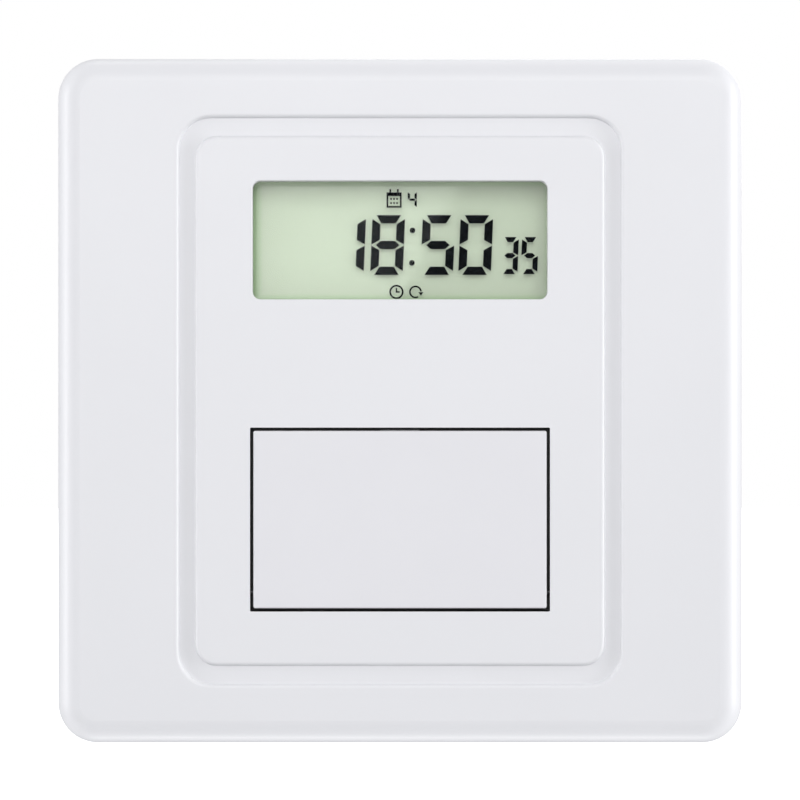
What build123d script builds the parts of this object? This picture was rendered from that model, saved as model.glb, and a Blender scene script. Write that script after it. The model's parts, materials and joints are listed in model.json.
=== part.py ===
"""Programmable wall timer for a square 86 mm wall box.

X runs to the right as seen by the user, Z up, and the front face looks along -Y.
The origin is midway between the two wall-box screws, on the wall plane.
All sizes are in millimetres.
"""

import os

from build123d import *

# ---------------------------------------------------------------- driving dimensions
plate_size = 86.0  # standard square plate
plate_corner = 5.0
edge_round = 3.0  # soft roll from the face into the sides
plate_depth = 13.0  # how far the face stands off the wall
wall = 2.0
rim_gap = 0.3  # the cover's rim stops just short of the wall

wall_y = 0.0
face_y = wall_y - plate_depth

groove_outer = (55.3, 70.9, 4.0)  # width, height, corner radius
groove_inner = (51.2, 66.2, 2.7)
groove_depth = 0.6

window = (36.9, 14.8, 1.0)
window_z = 20.1

flap_opening = (37.5, 23.0)
flap_gap = 0.4
flap_thick = 1.6
flap_z = -14.85
pocket_depth = 3.2
pocket_wall = 1.6
pocket_floor = 1.2
hinge_up = 2.0  # hinge axis above the flap's lower edge
hinge_in = 1.0  # hinge axis behind the flap's face
pin_radius = 0.35
pin_clearance = 0.05

key_height = 5.0
key_width = 6.4
key_pitch = 8.8
key_rows_z = (-8.6, -17.3)
key_gap = 0.2
key_lip = 0.7  # retaining flange around each key
key_top = 2.4  # key tops, measured back from the face
key_travel = 0.3
tact_tall = 1.1

board_front = 7.0  # display board, measured back from the face
board_thick = 1.6
board_size = (50.0, 73.0)
board_screws = (22.0, 33.5)

screw_spacing = 60.3  # standard spacing of the wall-box lugs
slot_width = 4.4
slot_length = 7.0
flange_size = 80.8
flange_thick = 2.0

box_half = 26.0  # rear box, half its width and height
box_wall = 1.8
box_seat = 0.4  # how deep the box sits in the back of the frame
box_deep = 28.0
box_step_z = -12.0  # below this the box is only as deep as the terminals
post = 21.6  # corner posts that take the frame screws

power_board_y = 1.9
terminal_pitch = 7.5
terminal_count = 4
terminal_z = -19.5
terminal_tall = 15.2

flap_size = (flap_opening[0] - 2 * flap_gap, flap_opening[1] - 2 * flap_gap)
hinge_y = face_y + hinge_in
hinge_z = flap_z - flap_size[1] / 2 + hinge_up
display_y = face_y + board_front
display_back = display_y + board_thick
power_back = power_board_y + board_thick
terminal_top = power_back + terminal_tall
box_front = wall_y - box_seat


# ---------------------------------------------------------------- small helpers
def block(x, y, z):
    """A box between two limits on each axis."""
    size = [high - low for low, high in (x, y, z)]
    middle = [(low + high) / 2 for low, high in (x, y, z)]
    return Pos(*middle) * Box(*size)


def plate(width, height, y_front, y_back, radius=0.0, x=0.0, z=0.0):
    """A slab that faces -Y, with its corners rounded about Y."""
    outline = RectangleRounded(width, height, radius) if radius else Rectangle(width, height)
    back = Plane((x, y_back, z), x_dir=(1, 0, 0), z_dir=(0, -1, 0))
    return extrude(back * outline, y_back - y_front)


def rod(radius, y_front, y_back, x=0.0, z=0.0):
    """A cylinder along Y."""
    back = Plane((x, y_back, z), x_dir=(1, 0, 0), z_dir=(0, -1, 0))
    return extrude(back * Circle(radius), y_back - y_front)


def rod_x(radius, x_left, x_right, y, z):
    """A cylinder along X."""
    left = Plane((x_left, y, z), x_dir=(0, 1, 0), z_dir=(1, 0, 0))
    return extrude(left * Circle(radius), x_right - x_left)


def rod_z(radius, z_low, z_high, x, y):
    """A cylinder along Z."""
    return extrude(Plane((x, y, z_low)) * Circle(radius), z_high - z_low)


def edges_at(shape, y, reach=1e9):
    """Edges that lie in the plane of that Y, no further than reach from the Y axis."""
    found = []
    for edge in shape.edges():
        box = edge.bounding_box()
        flat = abs(box.min.Y - y) < 1e-4 and abs(box.max.Y - y) < 1e-4
        widest = max(abs(box.min.X), abs(box.max.X), abs(box.min.Z), abs(box.max.Z))
        if flat and widest < reach:
            found.append(edge)
    return found


def group(*shapes):
    """Separate solids kept in one node."""
    return Compound(children=[solid for shape in shapes for solid in shape.solids()])


def corners(x, z):
    """The four corners of a centred rectangle."""
    return [(sx * x, sz * z) for sx in (-1, 1) for sz in (-1, 1)]


# ---------------------------------------------------------------- front cover and flap
def key_places():
    """Each key's name, centre and width: four small keys above, two small and one wide below."""
    columns = [(i - 1.5) * key_pitch for i in range(4)]
    upper, lower = key_rows_z
    keys = [
        ("clock", columns[0], upper, key_width),
        ("program", columns[1], upper, key_width),
        ("day", columns[2], upper, key_width),
        ("hour", columns[3], upper, key_width),
        ("minute", columns[0], lower, key_width),
        ("cancel", columns[1], lower, key_width),
    ]
    keys.append(("mode", (columns[2] + columns[3]) / 2, lower, key_width + key_pitch))
    return keys


def cover_shell():
    """The thin-walled plate with its rolled edge and the shallow groove around the panel."""
    rim_y = wall_y - rim_gap
    outside = plate(plate_size, plate_size, face_y, rim_y, plate_corner)
    outside = fillet(edges_at(outside, face_y), edge_round)
    inside_size = plate_size - 2 * wall
    inside = plate(inside_size, inside_size, face_y + wall, rim_y, plate_corner - wall)
    inside = fillet(edges_at(inside, face_y + wall), edge_round - wall)
    shell = outside - inside

    floor_y = face_y + groove_depth
    ring = plate(*groove_outer[:2], face_y, floor_y, groove_outer[2])
    ring -= plate(*groove_inner[:2], face_y, floor_y, groove_inner[2])
    shell -= ring
    reach = groove_outer[1] / 2 + 1
    shell = fillet(edges_at(shell, face_y, reach), 0.45)
    return fillet(edges_at(shell, floor_y, reach), 0.14)


def key_pocket(cover):
    """Cuts the flap's opening and adds the pocket behind it, with key holes and hinge sockets."""
    floor_y = face_y + pocket_depth
    wide, tall = flap_opening
    cover += plate(
        wide + 2 * pocket_wall, tall + 2 * pocket_wall,
        face_y + wall / 2, floor_y + pocket_floor, 1.0, z=flap_z,
    )
    cover -= plate(wide, tall, face_y, floor_y, 0.15, z=flap_z)
    for _, x, z, width in key_places():
        hole = (width + 2 * key_gap, key_height + 2 * key_gap)
        cover -= plate(*hole, floor_y, floor_y + pocket_floor, 0.9, x=x, z=z)
    socket = wide / 2 + pocket_wall - 0.3
    cover -= rod_x(pin_radius + pin_clearance, -socket, socket, hinge_y, hinge_z)
    # a low rib in the top wall that the flap's catch rides past
    top = flap_z + tall / 2
    return cover + block((-2.5, 2.5), (face_y + 1.0, face_y + 1.25), (top - 0.1, top + 0.1))


def front_cover():
    """White moulding that carries the window, the flap and the display board."""
    cover = key_pocket(cover_shell())
    cover -= plate(*window[:2], face_y, face_y + wall, window[2], z=window_z)
    cover = fillet(
        [e for e in edges_at(cover, face_y, 30) if abs(e.center().Z - window_z) < 8], 0.15
    )
    for x, z in corners(*board_screws):
        cover += rod(2.6, face_y + wall / 2, display_y, x, z)
        cover -= rod(0.85, display_y - 4.5, display_y, x, z)
    inner = plate_size / 2 - wall
    for side in (-1, 1):
        for x in (-22, 22):
            lug = sorted((side * (inner - 0.8), side * (inner + 0.5)))
            cover += block((x - 5, x + 5), (-5.1, -4.1), lug)
    # slot in the lower rim for levering the cover off
    return cover - block((-4, 4), (-2.0, wall_y), (-plate_size / 2, -inner))


def flap():
    """Door over the keys, with a stub pin at each lower corner and a catch on its top edge."""
    wide, tall = flap_size
    door = plate(wide, tall, face_y, face_y + flap_thick, 0.25, z=flap_z)
    door = fillet(edges_at(door, face_y), 0.22)
    reach = flap_opening[0] / 2 + pocket_wall - 0.5
    door += rod_x(pin_radius, -reach, reach, hinge_y, hinge_z)
    top = flap_z + tall / 2
    door += block((-2.5, 2.5), (face_y + 1.38, face_y + flap_thick), (top - 0.1, top + 0.22))
    back = face_y + flap_thick
    for z in (flap_z - 1.5, flap_z + 6.5):
        door += plate(wide - 5, 0.9, back - 0.2, back + 0.35, z=z)
    return door


# ---------------------------------------------------------------- keys
def key_cap(x, z, width):
    """A crowned cap that comes through the pocket floor, with a lip behind to hold it in."""
    top_y = face_y + key_top
    floor_back = face_y + pocket_depth + pocket_floor
    cap = plate(width, key_height, top_y, floor_back + 0.3, 0.8, x=x, z=z)
    cap = fillet(edges_at(cap, top_y), 0.35)
    lip = (width + 2 * key_lip, key_height + 2 * key_lip)
    cap += plate(*lip, floor_back + 0.05, floor_back + 0.8, 0.8, x=x, z=z)
    stem_end = display_y - tact_tall - key_travel - 0.1
    return cap + rod(1.4, floor_back + 0.5, stem_end, x, z)


def key_plunger(x, z):
    """The small round actuator of the tactile switch under a key."""
    top = display_y - tact_tall - key_travel - 0.09
    return rod(0.9, top, display_y - 0.32 - key_travel, x, z)


def tact_switches():
    """The seven tactile switch bodies on the display board, each with four pins."""
    bodies = []
    for _, x, z, _ in key_places():
        body = plate(4.6, 4.6, display_y - tact_tall, display_y, 0.3, x=x, z=z)
        body -= rod(1.0, display_y - tact_tall, display_y - 0.3, x, z)
        for sx, sz in corners(2.3, 1.5):
            body += block(
                (x + sx - 0.5, x + sx + 0.5),
                (display_y - 0.15, display_y),
                (z + sz - 0.35, z + sz + 0.35),
            )
        bodies.append(body)
    return group(*bodies)


# ---------------------------------------------------------------- display
lens_back = face_y + 2.8
polariser_front = face_y + 3.1
front_glass = (42.0, 19.5)
rear_glass = (42.0, 16.5)
glass_thick = 1.1
film_thick = 0.2
glass_top = window_z + rear_glass[1] / 2
front_glass_z = glass_top - front_glass[1] / 2
front_glass_y = polariser_front + film_thick
rear_glass_y = front_glass_y + glass_thick
reflector_y = rear_glass_y + glass_thick


def display_lens():
    """Clear window: a flange bonded behind the face, and a raised middle that fills the opening."""
    middle = plate(window[0] - 0.16, window[1] - 0.16, face_y + 0.6, face_y + wall,
                   window[2] - 0.08, z=window_z)
    return middle + plate(40.0, 18.0, face_y + wall, lens_back, 1.0, z=window_z)


def lcd_front_polariser():
    return plate(40.0, 15.6, polariser_front, front_glass_y, z=window_z)


def lcd_front_glass():
    """The larger glass, whose lower ledge carries the contacts."""
    return plate(*front_glass, front_glass_y, rear_glass_y, z=front_glass_z)


def lcd_rear_glass():
    return plate(*rear_glass, rear_glass_y, reflector_y, z=window_z)


def lcd_reflector():
    """Rear polariser with its reflecting film."""
    return plate(40.0, 15.6, reflector_y, reflector_y + film_thick, z=window_z)


def zebra_strip():
    """Rubber contact strip from the board to the ledge of the front glass."""
    low = front_glass_z - front_glass[1] / 2 + 0.4
    return block((-20, 20), (rear_glass_y, display_y), (low, low + 2.0))


def lcd_holder():
    """Frame that locates the glass on the board, with a shelf behind the rear glass."""
    frame = plate(45.4, front_glass[1] + 3.2, face_y + 3.0, display_y, 0.8, z=front_glass_z)
    frame -= plate(front_glass[0] + 0.3, front_glass[1] + 0.3, face_y + 3.0, display_y,
                   z=front_glass_z)
    for x in (-14, 0, 14):
        frame += block((x - 2, x + 2), (reflector_y + film_thick, display_y),
                       (glass_top - 12, glass_top + 0.5))
    for x in (-18.5, 18.5):
        frame += rod(0.9, display_y - 0.5, display_back + 0.4, x, glass_top + 0.9)
    return frame


def display_board():
    """Circuit board behind the face, with holes for its screws, the holder's pegs and the socket."""
    board = plate(*board_size, display_y, display_back, 1.0)
    for x, z in corners(*board_screws):
        board -= rod(1.2, display_y, display_back, x, z)
    for x in (-18.5, 18.5):
        board -= rod(0.95, display_y, display_back, x, glass_top + 0.9)
    return board


def pan_screw(x, z, seat_y, way, shank_radius, length, head_radius, head_tall):
    """A pan-head screw along Y with a cross recess; way is +1 if its head faces +Y."""
    tip_y = seat_y - way * length
    head_y = seat_y + way * head_tall
    screw = rod(shank_radius, min(seat_y, tip_y), max(seat_y, tip_y), x, z)
    head = rod(head_radius, min(seat_y, head_y), max(seat_y, head_y), x, z)
    head = fillet(edges_at(head, head_y), head_tall * 0.45)
    deep = head_y - way * head_tall * 0.6
    recess_y = (min(head_y, deep), max(head_y, deep))
    arm, half = head_radius * 0.6, head_radius * 0.13
    head -= block((x - arm, x + arm), recess_y, (z - half, z + half))
    head -= block((x - half, x + half), recess_y, (z - arm, z + arm))
    return screw + head


def display_board_screws():
    screws = [pan_screw(x, z, display_back, 1, 0.8, 5.6, 2.0, 1.4)
              for x, z in corners(*board_screws)]
    return group(*screws)


def controller_chip():
    """Flat controller package with a row of leads on each side."""
    chip_z, half, tall = 7.0, 3.5, 1.3
    chip = plate(2 * half, 2 * half, display_back + 0.1, display_back + 0.1 + tall, 0.3, z=chip_z)
    for i in range(12):
        along = (i - 5.5) * 0.5
        for side in (-1, 1):
            out = sorted((side * (half - 0.1), side * (half + 1.0)))
            across = (along - 0.11, along + 0.11)
            depth = (display_back, display_back + 0.25)
            rise = (display_back + 0.1, display_back + 0.7)
            root = sorted((side * (half - 0.1), side * (half + 0.35)))
            chip += block(out, depth, (chip_z + across[0], chip_z + across[1]))
            chip += block(root, rise, (chip_z + across[0], chip_z + across[1]))
            chip += block(across, depth, (chip_z + out[0], chip_z + out[1]))
            chip += block(across, rise, (chip_z + root[0], chip_z + root[1]))
    return chip


def clock_crystal():
    """Tuning-fork crystal can lying on the board, with its two leads."""
    y = display_back + 1.05
    can = rod_z(1.0, 8.0, 14.0, 9.5, y)
    for x in (9.15, 9.85):
        can += rod_z(0.15, 5.5, 8.1, x, y)
    return can


def backup_cell():
    """Rechargeable button cell that keeps the clock through a power cut, with its two tabs."""
    top = display_back + 4.2
    cell = rod(5.8, display_back + 0.3, top - 0.2, -10.5, -8.0)
    cell += rod(5.2, top - 0.2, top, -10.5, -8.0)
    cell = fillet(edges_at(cell, display_back + 0.3), 0.6)
    cell += block((-18.0, -10.5), (top, top + 0.2), (-9.5, -6.5))
    cell += block((-18.2, -18.0), (display_back, top + 0.2), (-9.5, -6.5))
    cell += block((-10.5, -3.4), (display_back + 0.1, display_back + 0.3), (-9.5, -6.5))
    return cell


def chip_parts():
    """Small surface-mount resistors and capacitors on the back of the display board."""
    places = [(x, 16.0) for x in (-12, -9, -6, -3, 3, 6)]
    places += [(x, -2.0) for x in (-3, 0, 3, 6, 9)]
    parts = []
    for x, z in places:
        parts.append(block((x - 0.4, x + 0.4), (display_back, display_back + 0.5), (z - 0.8, z + 0.8)))
    return group(*parts)


# ---------------------------------------------------------------- plug between the boards
pin_count = 8
pin_pitch = 2.0
plug_z = -12.4
plug_x = 10.0
plug_half = pin_count * pin_pitch / 2


def pin_places():
    return [plug_x + (i - (pin_count - 1) / 2) * pin_pitch for i in range(pin_count)]


def board_socket():
    """Socket on the back of the display board."""
    back = power_board_y - 2.1
    body = block((plug_x - plug_half, plug_x + plug_half), (display_back, back),
                 (plug_z - 1.1, plug_z + 1.1))
    for x in pin_places():
        body -= block((x - 0.35, x + 0.35), (display_back + 0.3, back), (plug_z - 0.35, plug_z + 0.35))
    return body


def pin_header():
    """Pins on the power board that plug into the socket."""
    body = block((plug_x - plug_half, plug_x + plug_half), (power_board_y - 2.0, power_board_y),
                 (plug_z - 1.1, plug_z + 1.1))
    for x in pin_places():
        body += block((x - 0.25, x + 0.25), (display_back + 0.6, power_back + 1.0),
                      (plug_z - 0.25, plug_z + 0.25))
    return body


# ---------------------------------------------------------------- mounting frame and rear box
def mounting_frame():
    """Frame screwed to the wall box: flange, stiffening rim, cover catches and board rests."""
    front = wall_y - flange_thick
    half = flange_size / 2
    frame = plate(flange_size, flange_size, front, wall_y, 3.0)
    rim = plate(flange_size - 2.4, flange_size - 2.4, front - 1.6, front + 0.5, 2.0)
    rim -= plate(flange_size - 5.0, flange_size - 5.0, front - 1.6, front + 0.5, 1.2)
    frame += rim
    frame -= plate(39.0, 39.0, front, wall_y, 2.0)
    seat_size = 2 * box_half + 0.3
    frame -= plate(seat_size, seat_size, box_front, wall_y, 2.5)
    slot = slot_length - slot_width
    for x in (-screw_spacing / 2, screw_spacing / 2):
        frame -= plate(slot_length, slot_width, front, wall_y, slot_width / 2 - 0.001, x=x)
        seat = plate(slot + 11.0, 11.0, front - 0.6, front + 0.3, 3.0, x=x)
        seat -= plate(slot + 9.6, 9.6, front - 0.6, front, 2.4, x=x)
        seat -= plate(slot_length, slot_width, front - 0.6, front + 0.3, slot_width / 2 - 0.001, x=x)
        frame += seat
    for side in (-1, 1):
        for x in (-22, 22):
            tab = sorted((side * (half - 2.2), side * (half - 0.8)))
            barb = sorted((side * (half - 1.0), side * (half - 0.3)))
            frame += block((x - 4.5, x + 4.5), (-6.4, front), tab)
            frame += block((x - 4.5, x + 4.5), (-6.3, -5.3), barb)
    for x, z in corners(post, post):
        frame -= rod(1.5, front, wall_y, x, z)
    for x, z in corners(22.6, 8.0):
        frame += block((x - 0.9, x + 0.9), (box_front - 0.3, power_board_y), (z - 2, z + 2))
    # locating lip that drops inside the rear box
    inner = box_half - box_wall - 0.15
    for sx in (-1, 1):
        lip = sorted((sx * inner, sx * (inner - 0.9)))
        frame += block(lip, (box_front - 0.3, wall_y + 1.4), (-16, -11))
        frame += block(lip, (box_front - 0.3, wall_y + 1.4), (11, 16))
    return frame


def rear_box():
    """Box behind the wall plane: deep over the relay, stepped back over the terminals."""
    step_back = terminal_top
    low, high = -box_half, box_half
    inner = box_half - box_wall
    box = block((low, high), (box_front, step_back), (low, high))
    box += block((low, high), (box_front, box_deep), (box_step_z, high))
    upright = box.edges().filter_by(Axis.Y)
    box = fillet([e for e in upright if abs(e.center().X) > 20 and abs(e.center().Z) > 20], 2.5)
    box = fillet(edges_at(box, box_deep), 1.2)
    box -= block((-inner, inner), (box_front, step_back - box_wall), (-inner, inner))
    box -= block((-inner, inner), (box_front, box_deep - box_wall), (box_step_z + box_wall, inner))
    for x, z in corners(post, post):
        deep = step_back - box_wall if z < 0 else 15.0
        column = rod(2.7, box_front, deep, x, z)
        column += block(sorted((x, x + (2.7 if x > 0 else -2.7))), (box_front, deep),
                        sorted((z, z + (2.7 if z > 0 else -2.7))))
        box += column
        box -= rod(1.05, box_front, 12.0, x, z)
    for x, z in corners(23.6, 8.0):
        box += block((x - 0.8, x + 0.8), (power_back + 0.05, 15.0), (z - 0.7, z + 0.7))
    half = terminal_pitch * terminal_count / 2
    box -= block((-half - 0.4, half + 0.4), (step_back - box_wall, step_back), (-inner, -13.8))
    for x in terminal_places():
        box -= block((x - 1.9, x + 1.9), (power_back + 1.7, power_back + 5.5), (-box_half, -inner))
    for i in range(6):
        y = 8.0 + i * 2.6
        for side in (-1, 1):
            slot = sorted((side * inner, side * box_half))
            box -= block(slot, (y, y + 1.2), (2.0, 17.0))
    return box


def frame_screws():
    """Four screws that hold the rear box to the frame, driven from the front."""
    screws = [pan_screw(x, z, wall_y - flange_thick, -1, 1.0, 10.0, 2.4, 1.5)
              for x, z in corners(post, post)]
    return group(*screws)


def power_board():
    """Square board in the rear box, cut away around the corner posts."""
    size = 2 * (box_half - box_wall) - 0.6
    board = plate(size, size, power_board_y, power_back)
    for x, z in corners(post, post):
        board -= plate(6.6, 6.6, power_board_y, power_back, x=x + (0.2 if x > 0 else -0.2),
                       z=z + (0.2 if z > 0 else -0.2))
    soldered = [
        pin_header(), terminal_bars(), relay_base(), relay_contacts(), suppressor_capacitor(),
        smoothing_capacitors(), surge_disc(), board_fuse(), rectifier_diodes(), resistors(),
    ]
    for part in soldered:
        board -= part
    return board


# ---------------------------------------------------------------- relay
relay_x, relay_z = -12.6, 6.5
relay_wide, relay_long, relay_tall = 15.4, 19.0, 15.6
relay_wall = 0.6
relay_y = power_back + 0.1
hinge_edge_z = relay_z + 7.6
armature_y = relay_y + 12.6


def relay_case():
    top = relay_y + relay_tall
    case = plate(relay_wide, relay_long, relay_y, top, 0.8, x=relay_x, z=relay_z)
    case = fillet(edges_at(case, top), 0.5)
    return case - plate(relay_wide - 2 * relay_wall, relay_long - 2 * relay_wall,
                        relay_y, top - relay_wall, 0.3, x=relay_x, z=relay_z)


def relay_base():
    """Base plate of the relay, with its two coil pins."""
    size = (relay_wide - 2 * relay_wall - 0.2, relay_long - 2 * relay_wall - 0.2)
    base = plate(*size, relay_y, relay_y + 1.4, 0.3, x=relay_x, z=relay_z)
    for x in (relay_x - 5.5, relay_x + 5.5):
        base += rod(0.4, relay_y - 2.9, relay_y + 0.2, x, relay_z - 5.0)
    return base - relay_contacts()


def relay_yoke():
    """L-shaped iron yoke with the core that runs through the coil."""
    yoke = block((relay_x - 4.5, relay_x + 4.5), (relay_y + 1.4, relay_y + 2.4),
                 (relay_z - 5.0, hinge_edge_z))
    yoke += block((relay_x - 4.5, relay_x + 4.5), (relay_y + 1.4, armature_y - 0.1),
                  (hinge_edge_z - 1.2, hinge_edge_z))
    yoke += rod(1.8, relay_y + 2.0, armature_y - 0.55, relay_x, relay_z)
    return yoke + rod(2.6, armature_y - 1.15, armature_y - 0.55, relay_x, relay_z)


def relay_bobbin():
    low, high = relay_y + 2.4, armature_y - 1.2
    spool = rod(2.4, low, high, relay_x, relay_z)
    spool += plate(11.0, 11.2, low, low + 0.7, 1.0, x=relay_x, z=relay_z)
    spool += plate(11.0, 11.2, high - 0.7, high, 1.0, x=relay_x, z=relay_z)
    return spool - rod(1.85, low, high, relay_x, relay_z)


def relay_winding():
    low, high = relay_y + 3.15, armature_y - 1.95
    return rod(5.2, low, high, relay_x, relay_z) - rod(2.45, low, high, relay_x, relay_z)


def relay_armature():
    """Iron armature that rocks on the top edge of the yoke."""
    return block((relay_x - 4.5, relay_x + 4.5), (armature_y, armature_y + 1.0),
                 (relay_z - 4.5, hinge_edge_z))


def relay_leaf():
    """Contact spring riveted to the armature, with the moving contact at its end."""
    y = armature_y + 1.0
    leaf = block((relay_x - 2.4, relay_x + 2.4), (y, y + 0.2), (relay_z - 8.3, relay_z + 3.0))
    for z in (relay_z - 2.0, relay_z + 1.5):
        leaf += rod(0.7, y, y + 0.5, relay_x, z)
    return leaf + rod(1.1, y - 0.4, y + 0.6, relay_x, relay_z - 7.1)


def relay_contacts():
    """The two fixed contacts, each on its own terminal strip."""
    z = relay_z - 7.1
    drop = 0.85  # how far the moving contact comes down, at its far edge
    closed = armature_y + 0.6 - drop
    wall_z = relay_z - relay_long / 2 + relay_wall
    low = block((relay_x - 6.4, relay_x - 5.0), (relay_y - 2.9, closed - 0.3), (wall_z + 0.1, wall_z + 0.5))
    low += block((relay_x - 6.4, relay_x + 1.3), (closed - 0.9, closed - 0.4), (wall_z + 0.1, z + 1.3))
    low += rod(1.1, closed - 0.5, closed, relay_x, z)
    open_y = armature_y + 1.65
    high = block((relay_x + 5.0, relay_x + 6.4), (relay_y - 2.9, open_y + 0.5), (wall_z + 0.1, wall_z + 0.5))
    high += block((relay_x - 1.3, relay_x + 6.4), (open_y + 0.1, open_y + 0.5), (wall_z + 0.1, z + 1.3))
    high += rod(1.1, open_y, open_y + 0.3, relay_x, z)
    return group(low, high)


# ---------------------------------------------------------------- other power parts
def lead(x, z, y_top):
    """A straight lead from a part down through the board."""
    return rod(0.3, power_board_y - 0.8, y_top, x, z)


def suppressor_capacitor():
    """Boxed film capacitor that drops the mains voltage."""
    body = plate(17.5, 8.5, power_back, power_back + 14.0, 0.8, x=8.0, z=17.4)
    body = fillet(edges_at(body, power_back + 14.0), 0.6)
    return body + lead(0.5, 17.4, power_back + 0.5) + lead(15.5, 17.4, power_back + 0.5)


def smoothing_capacitor(x, z, radius, tall):
    """Electrolytic can with its rolled neck and vent top."""
    can = rod(radius, power_back, power_back + tall, x, z)
    can = fillet(edges_at(can, power_back + tall), radius * 0.12)
    neck = rod(radius + 0.1, power_back + 1.4, power_back + 2.0, x, z)
    neck -= rod(radius - 0.25, power_back + 1.4, power_back + 2.0, x, z)
    can -= neck
    spread = radius * 0.45
    return can + lead(x - spread, z, power_back + 0.3) + lead(x + spread, z, power_back + 0.3)


def smoothing_capacitors():
    return group(smoothing_capacitor(5.5, 4.5, 5.0, 16.0), smoothing_capacitor(16.5, 6.5, 3.15, 11.0))


def surge_disc():
    """Varistor disc across the supply."""
    x, z = -14.0, -8.4
    middle_y = power_back + 5.9
    disc = rod_z(4.5, z - 2.0, z + 2.0, x, middle_y)
    disc = fillet(disc.edges().filter_by(GeomType.CIRCLE), 0.9)
    return disc + lead(x - 2.5, z, middle_y - 3.0) + lead(x + 2.5, z, middle_y - 3.0)


def board_fuse():
    """Round board fuse."""
    body = rod(4.2, power_back, power_back + 8.0, -3.0, -8.4)
    body = fillet(edges_at(body, power_back + 8.0), 0.4)
    return body + lead(-5.5, -8.4, power_back + 0.3) + lead(-0.5, -8.4, power_back + 0.3)


def axial_part(x, z, radius, length, spread):
    """A part lying along X on two leads bent down into the board."""
    y = power_back + radius + 0.2
    low = power_board_y - 0.8
    left, right = x - spread / 2, x + spread / 2
    path = FilletPolyline((left, low, z), (left, y, z), (right, y, z), (right, low, z), radius=0.8)
    wire = sweep(Plane(origin=(left, low, z), z_dir=(0, 1, 0)) * Circle(0.3), path)
    return rod_x(radius, x - length / 2, x + length / 2, y, z) + wire


def rectifier_diodes():
    places = [(x, z) for x in (7.5, 17.0) for z in (-5.4, -10.0)]
    return group(*[axial_part(x, z, 1.3, 5.0, 8.4) for x, z in places])


def resistors():
    return group(*[axial_part(-10.0, z, 1.1, 6.0, 9.6) for z in (18.2, 21.6)])


# ---------------------------------------------------------------- screw terminals
cavity_half = 2.6
cage_low = power_back + 1.0
nut_low = power_back + 5.9
nut_high = power_back + 7.3
bar_low, bar_high = power_back + 5.0, power_back + 5.6
seat_y = power_back + 11.4


def terminal_places():
    return [(i - (terminal_count - 1) / 2) * terminal_pitch for i in range(terminal_count)]


def terminal_block():
    """Four-way moulding: a screw well, a cage cavity and a wire hole for each way."""
    half = terminal_pitch * terminal_count / 2
    low_z, high_z = -24.0, -14.0
    body = block((-half - 0.1, half + 0.1), (power_back, terminal_top), (low_z, high_z))
    body = fillet(edges_at(body, terminal_top), 0.5)
    for x in terminal_places():
        body -= block((x - cavity_half, x + cavity_half), (power_back + 0.8, seat_y - 1.0),
                      (terminal_z - 2.5, terminal_z + 2.5))
        body -= rod(1.6, seat_y - 1.0, seat_y, x, terminal_z)
        body -= rod(2.5, seat_y, terminal_top, x, terminal_z)
        body -= block((x - 1.8, x + 1.8), (power_back + 1.8, power_back + 5.3),
                      (low_z, terminal_z - 2.5))
        body -= block((x - 1.6, x + 1.6), (power_back, bar_high + 0.1),
                      (terminal_z + 2.5, terminal_z + 4.6))
    for i in range(terminal_count - 1):
        x = (i - (terminal_count - 2) / 2) * terminal_pitch
        body -= block((x - 0.5, x + 0.5), (terminal_top - 3.0, terminal_top), (low_z, high_z))
    return body


def terminal_bars():
    """Contact bar of each way, bent down to a pin in the board."""
    bars = []
    for x in terminal_places():
        bar = block((x - 1.5, x + 1.5), (bar_low, bar_high), (terminal_z - 2.2, terminal_z + 4.4))
        bar += block((x - 1.5, x + 1.5), (power_back + 0.1, bar_high),
                     (terminal_z + 3.6, terminal_z + 4.4))
        bar += rod(0.55, power_board_y - 1.2, power_back + 0.4, x, terminal_z + 4.0)
        bars.append(bar)
    return group(*bars)


def terminal_cage(x):
    """Rising cage: the screw pulls it up and clamps the wire against the bar."""
    cage = block((x - 2.5, x + 2.5), (cage_low, nut_high), (terminal_z - 2.3, terminal_z + 2.3))
    cage -= block((x - 1.7, x + 1.7), (cage_low + 0.8, nut_low),
                  (terminal_z - 2.3, terminal_z + 2.3))
    return cage - rod(1.5, nut_low, nut_high, x, terminal_z)


def terminal_screw(x):
    """Captive clamp screw with a slotted cheese head."""
    screw = rod(1.45, bar_high + 0.05, seat_y + 0.05, x, terminal_z)
    head = rod(2.3, seat_y + 0.05, seat_y + 2.05, x, terminal_z)
    head = fillet(edges_at(head, seat_y + 2.05), 0.3)
    slot_y = (seat_y + 1.05, seat_y + 2.05)
    head -= block((x - 2.4, x + 2.4), slot_y, (terminal_z - 0.35, terminal_z + 0.35))
    head -= block((x - 0.35, x + 0.35), slot_y, (terminal_z - 1.4, terminal_z + 1.4))
    return screw + head


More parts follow.
